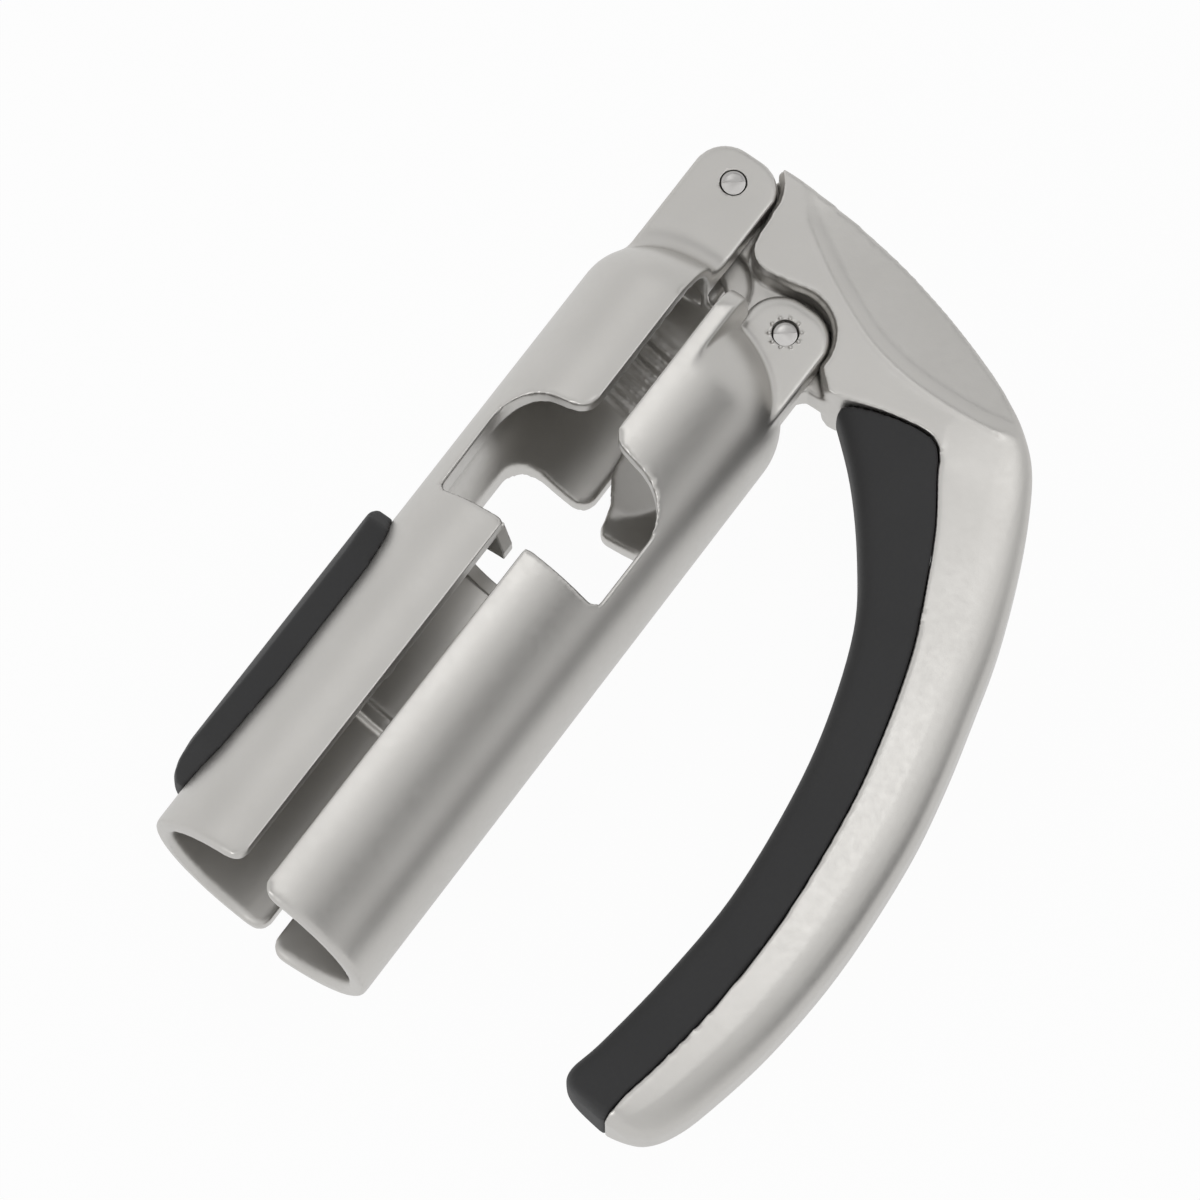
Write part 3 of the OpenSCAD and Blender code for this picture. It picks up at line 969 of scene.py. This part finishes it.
@dataclass
class Lever:
    """The lever: a thick head over a thin tongue, a curved spine and a rubber grip.

    The handle's three curves are knots read off the product: the grip's inner edge, the seam
    between rubber and metal, and the spine's outer edge. They have as many knots each.
    """

    pivots: Pivots = field(default_factory=Pivots)
    head_half: float = 8.0
    tip_half: float = 7.0
    tongue_half: float = 3.0
    ledge_grown: float = 0.65
    ledge_half: float = 6.8
    nose_radius: float = 4.2
    upper_sweep: Flat = (52.0, 0.0)
    nose_sweep: Flat = (180.0, 282.0)
    nose_steps: int = 20
    lower_sweep: Flat = (113.0, -8.0)
    lower_steps: int = 24
    lower_point: Flat = (22.1, 114.8)
    grip_point: Flat = (24.2, 115.2)
    shoulder_point: Flat = (39.9, 121.0)
    sheet_below: Flat = (-6.0, -5.4)
    sheet_above: Flat = (10.4, 6.0)
    sheet_end: tuple[Flat, Flat] = ((22.1, 114.6), (24.9, 126.8))
    upper_boss: float = 6.5
    lower_boss: float = 8.3
    notch_rise: float = -8.4
    notch_radius: float = 6.9
    web_half: float = 1.2
    tip_share: float = 0.93
    tip_reach: float = 0.085
    square: float = 8.0
    square_fall: float = 2.5
    square_start: float = 9.0
    square_rings: float = 9.0
    lean: float = 0.1
    lean_more: float = 0.32
    lean_rings: float = 16.0
    lean_curve: float = 1.6
    spine_steps: int = 18
    lip: float = 0.13
    lip_depth: float = 1.4
    inner_edge: tuple[Flat, ...] = (
        (21.0, 116.8), (31.5, 107.7), (40.1, 97.6), (46.3, 87.8), (51.4, 73.5), (54.3, 59.4),
        (55.8, 43.0), (55.0, 27.5), (53.3, 14.1), (52.1, 8.3), (53.0, 6.0), (55.3, 5.0))
    seam: tuple[Flat, ...] = (
        (42.9, 114.2), (48.0, 106.4), (52.8, 96.7), (56.6, 87.9), (60.3, 75.3), (62.9, 62.7),
        (64.7, 44.4), (64.4, 28.3), (62.8, 15.8), (61.6, 9.5), (61.3, 6.6), (61.0, 4.3))
    outer_edge: tuple[Flat, ...] = (
        (57.9, 117.0), (61.6, 109.1), (65.6, 98.5), (68.3, 89.0), (71.6, 75.9), (73.9, 62.7),
        (75.0, 44.4), (74.0, 28.3), (71.5, 15.2), (69.6, 9.5), (67.4, 6.4), (64.8, 4.8))
    shoulder_seam: tuple[Flat, ...] = ((39.0, 119.6), (40.6, 118.2), (42.0, 116.4))
    shoulder_edge: tuple[Flat, ...] = ((43.5, 130.8), (49.0, 127.8), (53.8, 123.6))
    top_edge: tuple[Flat, ...] = (
        (-5.0, 140.2), (-1.5, 140.5), (9.9, 139.9), (21.5, 138.1), (30.8, 135.6), (39.9, 132.4),
        (44.2, 130.45))
    grip_top: tuple[Flat, ...] = (
        (26.7, 116.0), (31.5, 117.4), (37.3, 118.4), (40.2, 117.8), (42.0, 115.9))
    grip_corner: tuple[Flat, ...] = (
        (24.9, 112.0), (24.2, 112.9), (24.1, 114.0), (24.6, 115.0), (25.4, 115.5))
    grip_steps: int = 5
    grip_start: tuple[Flat, Flat] = ((40.0, 121.0), (15.5, 121.5))
    grip_around: tuple[Flat, ...] = (
        (62.0, -5.0), (45.0, -5.0), (45.0, 60.0), (30.0, 95.0), (20.0, 108.0))
    grip_step: float = 0.2
    grip_square: float = 3.4
    grip_top_gap: float = 0.3
    grip_seam_gap: float = 0.2
    crease: tuple[Flat, ...] = (
        (-0.5, 139.9), (2.5, 136.4), (5.1, 134.3), (10.2, 131.0), (15.4, 128.2), (22.0, 125.3),
        (28.3, 123.8), (34.5, 123.4), (41.8, 123.7), (46.5, 124.6), (51.0, 126.0), (54.0, 127.4))
    crease_steps: int = 4
    scoop_depth: float = 0.8
    scoop_curve: float = 0.6
    scoop_fall: float = 1.2
    scoop_end: float = 46.0
    scoop_fade: float = 6.0
    scoop_slope: float = 2.6
    scoop_tilt: float = 0.075
    scoop_reach: float = 25.0
    ridge_height: float = 0.32
    ridge_curve: float = 0.8
    ridge_blunt: float = 0.2
    ridge_skip: tuple[int, int] = (4, 7)
    ridge_section: tuple[tuple[float, float, float], ...] = (
        (-0.5, -1.0, 0.0), (-0.5, -0.05, 0.0), (-0.1, -0.05, 1.0), (0.6, -0.2, 1.0), (1.6, -0.52, 0.0),
        (1.6, -1.0, 0.0))
    pin_gap: float = 0.05
    passes: int = 4
    grip_passes: int = 5
    grain: float = 0.38

    def half_at(self, share: float) -> float:
        """Give the handle's half thickness, drawn in at the tip.

        Args:
            share: A share of the handle's length.

        Returns:
            The half thickness.
        """
        half = self.head_half + (self.tip_half - self.head_half) * share
        past = max(0.0, share - self.tip_share)
        return half * math.sqrt(1 - (past / self.tip_reach) ** 2)

    def ring(self, seam: Flat, edge: Flat, half: float, power: float, lean: float = 0.0,
             steps: int = 14) -> Ring:
        """Give one ring of the handle, from the seam's front over the edge to its back.

        Args:
            seam: The ring's place on the seam.
            edge: Its place on the edge.
            half: Half of its thickness at the seam.
            power: 2 for an ellipse, and more for a squarer ring.
            lean: The share of the thickness that the faces lose towards the edge.
            steps: Chords on each face.

        Returns:
            The ring's corners.
        """
        corners: Ring = []
        for i in range(-steps, steps + 1):
            angle = math.pi / 2 * (1 - abs(i) / steps)
            out = math.sin(angle) ** (2 / power)
            up = math.cos(angle) ** (2 / power) * (1 if i < 0 else -1) * (1 - lean * out ** self.lean_curve)
            corners.append((seam[0] + (edge[0] - seam[0]) * out, seam[1] + (edge[1] - seam[1]) * out,
                            half * up))
        return corners

    def spine(self) -> bpy.types.Object:
        """Loft the metal spine from the head's shoulder, square there, down to the round tip.

        Returns:
            The spine, with a thin lip that stands into the seam's groove.
        """
        seam = smooth_curve(self.shoulder_seam + self.seam)
        edge = smooth_curve(self.shoulder_edge + self.outer_edge)
        last = len(seam) - 1
        rings = []
        for i, (start, end) in enumerate(zip(seam, edge)):
            half, out = self.half_at(i / last), math.dist(start, end)
            lip = [a + (a - b) * self.lip / out for a, b in zip(start, end)]
            power = self.square - self.square_fall * i / last
            power += self.square_start * math.exp(-i / self.square_rings)
            lean = (self.lean + self.lean_more * i / last) * (1 - math.exp(-(i / self.lean_rings) ** 2))
            rings.append([*self.ring(start, end, half, power, lean, self.spine_steps),
                          (*lip, self.lip_depth - half), (*lip, half - self.lip_depth)])
        return lofted("spine", rings)

    def head_outline(self, recess: float, nose: float) -> Outline:
        """Give the head's outline, with its recesses round both pairs of ears.

        Args:
            recess: The radius of the recesses.
            nose: The radius of the nose between them.

        Returns:
            The closed outline.
        """
        upper, lower = self.pivots.upper, self.pivots.lower
        grown = recess - self.pivots.recess
        x, y = self.lower_point
        return [*arc(upper, recess, *self.upper_sweep),
                *arc(self.pivots.nose(), nose, *self.nose_sweep, self.nose_steps),
                *arc(lower, recess, *self.lower_sweep, self.lower_steps), (x + grown, y), self.grip_point,
                *smooth_curve(self.grip_top, self.grip_steps), self.shoulder_point,
                *reversed(smooth_curve(self.top_edge)[1:])]

    def tongue(self) -> bpy.types.Object:
        """Cut the tongue from plate, with a boss round each pin and a notch that a thin web crosses.

        Returns:
            The tongue.
        """
        pivots, half, along = self.pivots, self.tongue_half, self.pivots.along
        below, above = self.sheet_below, self.sheet_above
        sheet = [along(1, below[1]), along(0, below[0]), *self.sheet_end, along(0, above[0]),
                 along(1, above[1])]
        tongue = prism("tongue", sheet, -half, half)
        for centre, radius in ((pivots.upper, self.upper_boss), (pivots.lower, self.lower_boss)):
            work(tongue, bar("boss", centre, radius, -half, half), Cut.ON)
        for low, high in ((self.web_half, half + OVERRUN), (-half - OVERRUN, -self.web_half)):
            notch = bar("notch", along(0.5, self.notch_rise), self.notch_radius, low, high)
            work(tongue, notch, Cut.AWAY)
        return tongue

    def scoop(self, face: int) -> bpy.types.Object:
        """Loft what is scooped out of one face of the head, above the crease.

        Args:
            face: 1 for the front and -1 for the back.

        Returns:
            The solid that is cut away.
        """
        crease = smooth_curve(self.crease, self.crease_steps)
        last, half, reach = len(crease) - 1, self.head_half, self.scoop_reach
        over = face * (half + OVERRUN)
        rings: list[Ring] = []
        for i, (x, y) in enumerate(crease):
            share = math.sin(math.pi / 2 * min(1.0, 2 * (i + 1) / (last + 2))) ** self.scoop_curve
            start = half - self.scoop_fall * max(0.0, (x - self.scoop_end) / self.scoop_fade) ** 2
            deep = start - self.scoop_depth * share
            far = deep - self.scoop_tilt * share * (reach - self.scoop_slope)
            rings.append([(x, y, face * start), (x, y + self.scoop_slope, face * deep),
                          (x, y + reach, face * far), (x, y + reach, over), (x, y, over)])
        return lofted("scoop", rings)

    def ridge(self, face: int) -> bpy.types.Object:
        """Loft the low bead that edges the scoop.

        Args:
            face: 1 for the front and -1 for the back.

        Returns:
            The bead.
        """
        first, past = self.ridge_skip
        crease = smooth_curve(self.crease, self.crease_steps)[first:-past]
        last, half, blunt = len(crease) - 1, self.head_half, self.ridge_blunt
        rings: list[Ring] = []
        for i, (x, y) in enumerate(crease):
            share = math.sin(math.pi * (i + blunt) / (last + 2 * blunt)) ** self.ridge_curve
            tall = self.ridge_height * share
            rings.append([(x, y + rise, face * (half + deep + tall * lift))
                          for rise, deep, lift in self.ridge_section])
        return lofted("ridge", rings)

    def body(self) -> bpy.types.Object:
        """Build the casting: head, ledge, tongue and spine in one.

        Returns:
            The casting.
        """
        half, top, grown = self.head_half, self.ledge_half, self.ledge_grown
        head = self.head_outline(self.pivots.recess, self.nose_radius)
        ledge = self.head_outline(self.pivots.recess - grown, self.nose_radius + grown / 2)
        lever = prism("lever_body", head, -half, half)
        work(lever, self.spine(), Cut.ON)
        work(lever, prism("ledge", ledge, -top, top), Cut.ON)
        for face in (-1, 1):
            work(lever, self.scoop(face), Cut.AWAY)
        work(lever, self.tongue(), Cut.ON)
        for face in (-1, 1):
            work(lever, self.ridge(face), Cut.ON)
        cast(lever, self.grain, self.passes)
        hole, past = self.pivots.pin_radius + self.pin_gap, half + OVERRUN
        for pin in (self.pivots.lower, self.pivots.upper):
            work(lever, bar("pin hole", pin, hole, -past, past), Cut.AWAY)
        return lever

    def grip(self) -> bpy.types.Object:
        """Loft the rubber along the inner side, and cut its leaf-shaped top end.

        Returns:
            The grip.
        """
        seam, edge = smooth_curve(self.seam), smooth_curve(self.inner_edge)
        last, half = len(seam) - 1, self.head_half
        rings = [self.ring(*self.grip_start, half - self.grip_step, self.grip_square)]
        rings += [self.ring(a, b, self.half_at(i / last) - self.grip_step, self.grip_square)
                  for i, (a, b) in enumerate(zip(seam, edge))]
        grip = lofted("lever_grip", rings)
        top = smooth_curve((*self.grip_corner, *self.grip_top), self.grip_steps)
        side = [(x - self.grip_seam_gap, y) for x, y in seam]
        leaf = [*self.grip_around, *((x, y - self.grip_top_gap) for x, y in top), *side,
                (side[-1][0], self.grip_around[0][1])]
        work(grip, prism("leaf", leaf, -half, half), Cut.COMMON)
        cast(grip, self.grain, self.grip_passes)
        return grip

    def make(self, zinc: bpy.types.Material, rubber: bpy.types.Material) -> None:
        """Build the casting and its grip, and dress them."""
        dress(self.body(), zinc, "lever", "lever_body")
        dress(self.grip(), rubber, "lever", "lever_grip")


@dataclass
class PalmPad:
    """The rubber pad on the outside of the left shell."""

    low: float = 8.4
    high: float = 60.3
    inside: float = 19.95
    outside: float = 23.55
    half_width: float = 11.4
    foot: tuple[Flat, ...] = ((2.2, 0.0), (1.1, 1.2), (0.4, 3.2), (0.0, 6.5))
    head: tuple[Flat, ...] = ((0.0, 1.4), (0.9, 0.0))
    end_half: float = 5.6
    shoulder_half: float = 9.6
    passes: int = 9
    grain: float = 0.34

    def side(self) -> list[tuple[float, float, float]]:
        """Give one side of the pad's outline.

        Returns:
            Each corner's height, half width and radius.
        """
        low, high, half = self.low, self.high, self.half_width
        return [(low, self.end_half, 2.0), (low + 7, self.shoulder_half, 6.0), (low + 20, half, 20.0),
                (high - 9, half, 12.0), (high - 3, self.shoulder_half, 4.0), (high, self.end_half, 2.0)]

    def build(self) -> bpy.types.Object:
        """Turn the pad's section, thinner at its foot, and keep the part under the palm.

        Returns:
            The pad.
        """
        out, low, high = self.outside, self.low, self.high
        pad = spun("palm_pad", [(0, low), *((out - inset, low + rise) for inset, rise in self.foot),
                                *((out - inset, high - drop) for inset, drop in self.head), (0, high)])
        work(pad, bar_along("tube", self.inside, low - OVERRUN, high + OVERRUN), Cut.AWAY)
        outline = rounded([(y, -z, r) for y, z, r in self.side()]
                          + [(y, z, r) for y, z, r in reversed(self.side())])
        keep = prism("pad outline", outline, 0, 2 * self.inside)
        for vertex in keep.data.vertices:
            along, across, away = vertex.co
            vertex.co = (-away, along, across)
        with editing(keep):
            bpy.ops.mesh.normals_make_consistent(inside=False)
        work(pad, keep, Cut.COMMON)
        cast(pad, self.grain, self.passes)
        return pad

    def make(self, rubber: bpy.types.Material) -> None:
        """Build the pad and dress it."""
        dress(self.build(), rubber, "lifter", "palm_pad")


@dataclass
class Pin:
    """A turned pin along Z with broken edges."""

    node: str
    rides: str
    centre: Flat
    radius: float
    half_length: float
    chamfer: float = 0.42
    dish: float = 7.0
    dish_depth: float = 0.12
    shear_low: float = 0.1
    shear_turn: float = 40.0
    shear_drop: float = 0.3

    def shear(self, face: int) -> bpy.types.Object:
        """Loft the thin wedge that shearing took off one side of the pin's end.

        Args:
            face: 1 for the front end and -1 for the back.

        Returns:
            The wedge.
        """
        turn = math.radians(self.shear_turn)
        along, aside = (math.cos(turn), math.sin(turn)), (math.sin(turn), -math.cos(turn))
        top, reach = self.half_length - self.shear_low, 2 * self.radius
        rings = []
        for way in (-reach, reach):
            x, y = self.centre[0] + along[0] * way, self.centre[1] + along[1] * way
            rings.append([(x + aside[0] * out, y + aside[1] * out, face * z) for out, z in (
                (0, top), (reach, top - 2 * self.shear_drop), (reach, top + OVERRUN), (0, top + OVERRUN))])
        return lofted("shear", rings)

    def build(self) -> bpy.types.Object:
        """Turn the pin, break its edges and dish its ends.

        Returns:
            The pin.
        """
        pin = bar(self.node, self.centre, self.radius, -self.half_length, self.half_length)
        apply(pin, "BEVEL", width=self.chamfer * MM, segments=3, limit_method="ANGLE",
              angle_limit=math.radians(50))
        away = self.half_length + self.dish - self.dish_depth
        for face in (-1, 1):
            work(pin, ball(self.centre, face * away, self.dish, 96, 64), Cut.AWAY)
            work(pin, self.shear(face), Cut.AWAY)
        pick(pin)
        bpy.ops.object.shade_smooth_by_angle(angle=math.radians(30))
        return pin

    def make(self, steel: bpy.types.Material) -> None:
        """Build the pin and dress it."""
        dress(self.build(), steel, self.rides, self.node)


def add_node(tree: bpy.types.NodeTree, kind: str, *inputs: tuple[int | str, object],
             **settings: object) -> bpy.types.Node:
    """Add a shader node.

    Args:
        tree: The tree that it goes in.
        kind: Its type.
        *inputs: The name or number of each input, and its value or the socket that feeds it.
        **settings: Its own settings, by name.

    Returns:
        The node.
    """
    node = tree.nodes.new(kind)
    for name, value in settings.items():
        setattr(node, name, value)
    for name, value in inputs:
        if isinstance(value, bpy.types.NodeSocket):
            tree.links.new(value, node.inputs[name])
        else:
            node.inputs[name].default_value = value
    return node


class Grain:
    """The fine mottle that all finishes share, as one node group."""

    NAME = "fine grain"

    @classmethod
    def group(cls) -> bpy.types.NodeTree:
        """Give the group, and build it the first time.

        Returns:
            The group, with one fine and one broad mottle.
        """
        if cls.NAME in bpy.data.node_groups:
            return bpy.data.node_groups[cls.NAME]
        tree = bpy.data.node_groups.new(cls.NAME, "ShaderNodeTree")
        for name, kind in (("Vector", "NodeSocketVector"), ("Size", "NodeSocketFloat"),
                           ("Stretch", "NodeSocketVector")):
            tree.interface.new_socket(name=name, in_out="INPUT", socket_type=kind)
        for name in ("Fine", "Broad"):
            tree.interface.new_socket(name=name, in_out="OUTPUT", socket_type="NodeSocketFloat")
        given = add_node(tree, "NodeGroupInput").outputs
        stretch = add_node(tree, "ShaderNodeVectorMath", (0, given["Vector"]), (1, given["Stretch"]),
                           operation="MULTIPLY")
        fine = add_node(tree, "ShaderNodeTexNoise", ("Detail", 4), ("Roughness", 0.6),
                        ("Vector", stretch.outputs["Vector"]), ("Scale", given["Size"]))
        broad = add_node(tree, "ShaderNodeTexNoise", ("Scale", 70), ("Detail", 2),
                         ("Vector", given["Vector"]))
        add_node(tree, "NodeGroupOutput", ("Fine", fine.outputs["Fac"]), ("Broad", broad.outputs["Fac"]))
        return tree


@dataclass(frozen=True)
class Finish:
    """What a surface is made of, and how it is finished."""

    name: str
    dark: tuple[float, float, float]
    light: tuple[float, float, float]
    metallic: float
    smooth: float
    rough: float
    grain_size: float
    stretch: tuple[float, float, float]
    bump: float
    specular: float = 0.5

    def material(self) -> bpy.types.Material:
        """Build the finish as a material.

        Returns:
            The material.
        """
        material = bpy.data.materials.new(self.name)
        material.use_nodes = True
        tree = material.node_tree
        shader = tree.nodes["Principled BSDF"]
        place = add_node(tree, "ShaderNodeTexCoord").outputs["Object"]
        grain = add_node(tree, "ShaderNodeGroup", ("Size", self.grain_size), ("Stretch", self.stretch),
                         ("Vector", place), node_tree=Grain.group()).outputs
        colour = add_node(tree, "ShaderNodeMix", ("A", (*self.dark, 1)), ("B", (*self.light, 1)),
                          ("Factor", grain["Broad"]), data_type="RGBA")
        sheen = add_node(tree, "ShaderNodeMapRange", ("To Min", self.smooth), ("To Max", self.rough),
                         ("Value", grain["Fine"]))
        bump = add_node(tree, "ShaderNodeBump", ("Strength", self.bump), ("Distance", HAIR * MM),
                        ("Height", grain["Fine"]))
        tree.links.new(colour.outputs["Result"], shader.inputs["Base Color"])
        tree.links.new(sheen.outputs["Result"], shader.inputs["Roughness"])
        tree.links.new(bump.outputs["Normal"], shader.inputs["Normal"])
        shader.inputs["Metallic"].default_value = self.metallic
        shader.inputs["Specular IOR Level"].default_value = self.specular
        return material


SATIN_ZINC = Finish(
    "satin zinc", dark=(0.53, 0.517, 0.495), light=(0.59, 0.577, 0.555), metallic=1.0, smooth=0.34,
    rough=0.46, grain_size=900, stretch=(1, 1, 1), bump=0.25)
SOFT_RUBBER = Finish(
    "soft black rubber", dark=(0.036, 0.036, 0.037), light=(0.045, 0.045, 0.046), metallic=0.0,
    smooth=0.55, rough=0.7, grain_size=1500, stretch=(1, 1, 1), bump=0.35, specular=0.3)
TURNED_STEEL = Finish(
    "turned steel", dark=(0.42, 0.41, 0.4), light=(0.52, 0.51, 0.5), metallic=1.0, smooth=0.26,
    rough=0.4, grain_size=600, stretch=(1, 1, 1), bump=0.2)


@dataclass(frozen=True)
class Studio:
    """The white floor, the soft lamps and the camera."""

    azimuth: float = 11.28
    elevation: float = 14.23
    roll: float = 37.59
    distance: float = 907.3
    target: tuple[float, float, float] = (12.31, 69.79, 0)
    lens: float = 180.465
    sensor: float = 36.0
    floor: float = -20.0
    floor_reach: float = 3000.0
    paper_glow: float = 0.96
    room_level: float = 0.55
    mirror_level: float = 0.7

    def lamp(self, name: str, place: Sequence[float], size: float, power: float) -> None:
        """Hang one square lamp that looks at the opener.

        Args:
            name: The lamp's name.
            place: Where it hangs, in millimetres.
            size: The side of its square.
            power: Its power in watts.
        """
        deselect()
        spot = Vector(place) * MM
        bpy.ops.object.light_add(type="AREA", location=spot)
        lamp = bpy.context.object
        lamp.name = name
        lamp.data.size = size * MM
        lamp.data.energy = power
        aim = Vector(self.target) * MM - spot
        lamp.rotation_euler = aim.to_track_quat("-Z", "Y").to_euler()

    def camera(self) -> None:
        """Set the camera where the photograph was taken from."""
        side, up = math.radians(self.azimuth), math.radians(self.elevation)
        back = Vector((math.sin(side) * math.cos(up), -math.sin(up), math.cos(side) * math.cos(up)))
        right = (-back).cross(Vector((0, 1, 0))).normalized()
        above = right.cross(-back)
        turn = math.radians(self.roll)
        across = math.cos(turn) * right + math.sin(turn) * above
        over = math.cos(turn) * above - math.sin(turn) * right
        deselect()
        bpy.ops.object.camera_add()
        camera = bpy.context.object
        place = (Vector(self.target) + back * self.distance) * MM
        camera.matrix_world = Matrix.Translation(place) @ Matrix((across, over, back)).transposed().to_4x4()
        camera.data.lens = self.lens
        camera.data.sensor_width = self.sensor
        camera.data.clip_end = 10
        bpy.context.scene.camera = camera

    def paper(self) -> bpy.types.Material:
        """Mix the floor's white, which keeps a faint shadow for the camera.

        Returns:
            The floor's material.
        """
        material = bpy.data.materials.new("white paper")
        material.use_nodes = True
        tree = material.node_tree
        shader = tree.nodes["Principled BSDF"]
        shader.inputs["Base Color"].default_value = (0.8, 0.8, 0.8, 1)
        shader.inputs["Roughness"].default_value = 1.0
        path = add_node(tree, "ShaderNodeLightPath").outputs
        seen = add_node(tree, "ShaderNodeMath", (0, path["Is Camera Ray"]), (1, path["Is Glossy Ray"]),
                        operation="MAXIMUM")
        share = add_node(tree, "ShaderNodeMath", (0, seen.outputs["Value"]), (1, self.paper_glow),
                         operation="MULTIPLY")
        glow = add_node(tree, "ShaderNodeEmission")
        mix = add_node(tree, "ShaderNodeMixShader", ("Fac", share.outputs["Value"]),
                       (1, shader.outputs["BSDF"]), (2, glow.outputs["Emission"]))
        tree.links.new(mix.outputs["Shader"], tree.nodes["Material Output"].inputs["Surface"])
        return material

    def world(self) -> None:
        """Light the room evenly, with a white background for camera and mirror rays."""
        world = bpy.data.worlds.new("white room")
        bpy.context.scene.world = world
        world.use_nodes = True
        tree = world.node_tree
        room = tree.nodes["Background"]
        room.inputs["Color"].default_value = (1, 1, 1, 1)
        path = add_node(tree, "ShaderNodeLightPath").outputs
        mirrored = add_node(tree, "ShaderNodeMath", (0, path["Is Glossy Ray"]), (1, self.mirror_level),
                            operation="MULTIPLY")
        seen = add_node(tree, "ShaderNodeMath", (0, path["Is Camera Ray"]), (1, mirrored.outputs["Value"]),
                        operation="MAXIMUM")
        through = add_node(tree, "ShaderNodeMath", (0, seen.outputs["Value"]),
                           (1, path["Is Transmission Ray"]), operation="MAXIMUM")
        strength = add_node(tree, "ShaderNodeMapRange", ("To Min", self.room_level), ("To Max", 1.0),
                            ("Value", through.outputs["Value"]))
        tree.links.new(strength.outputs["Result"], room.inputs["Strength"])

    def flag(self, name: str, place: Sequence[float], width: float, height: float,
             shade: float = 0.05) -> None:
        """Hang a dark card that only the metal's reflections see.

        Args:
            name: The card's name.
            place: Where it hangs, in millimetres.
            width: Its width along X.
            height: Its other side.
            shade: How light its cloth is.
        """
        deselect()
        spot = Vector(place) * MM
        bpy.ops.mesh.primitive_plane_add(size=1, location=spot)
        card = bpy.context.object
        card.name = name
        card.rotation_euler = (Vector(self.target) * MM - spot).to_track_quat("-Z", "Y").to_euler()
        card.scale = (width * MM, height * MM, 1)
        cloth = bpy.data.materials.new("dark cloth")
        cloth.use_nodes = True
        cloth.node_tree.nodes["Principled BSDF"].inputs["Base Color"].default_value = (shade, shade, shade, 1)
        card.data.materials.append(cloth)
        card.visible_camera = False
        card.visible_shadow = False

    def build(self) -> None:
        """Lay the floor, hang the lamps and set the camera."""
        deselect()
        bpy.ops.mesh.primitive_plane_add(size=self.floor_reach * MM, location=(0, 0, self.floor * MM))
        floor = bpy.context.object
        floor.name = "floor"
        floor.data.materials.append(self.paper())
        self.world()
        self.lamp("key lamp", place=(170, 304, 905), size=260, power=0.57)
        self.lamp("side lamp", place=(-700, 250, 520), size=300, power=0.12)
        self.lamp("front lamp", place=(-170, -730, 400), size=220, power=1.0)
        self.flag("far flag", place=(-100, 640, 760), width=420, height=200)
        self.flag("near flag", place=(-180, -350, 800), width=320, height=200, shade=0.2)
        self.flag("right flag", place=(760, 290, 450), width=480, height=420)
        self.camera()


def main() -> None:
    """Build the opener, dress it and set it in its studio."""
    logging.basicConfig(level=logging.INFO, format="%(message)s")
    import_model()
    bpy.context.scene.view_settings.view_transform = "Standard"
    zinc, rubber, steel = (f.material() for f in (SATIN_ZINC, SOFT_RUBBER, TURNED_STEEL))
    RightShell().make(zinc)
    LeftShell().make(zinc)
    Lever().make(zinc, rubber)
    PalmPad().make(rubber)
    pivots = Pivots()
    face = pivots.ear_outside
    Pin("lower_pin", "base", pivots.lower, pivots.pin_radius, face - pivots.lower_sunk).make(steel)
    Pin("upper_pin", "lifter", pivots.upper, pivots.pin_radius, face + pivots.upper_proud).make(steel)
    Studio().build()
    deselect()


if __name__ == "__main__":
    main()
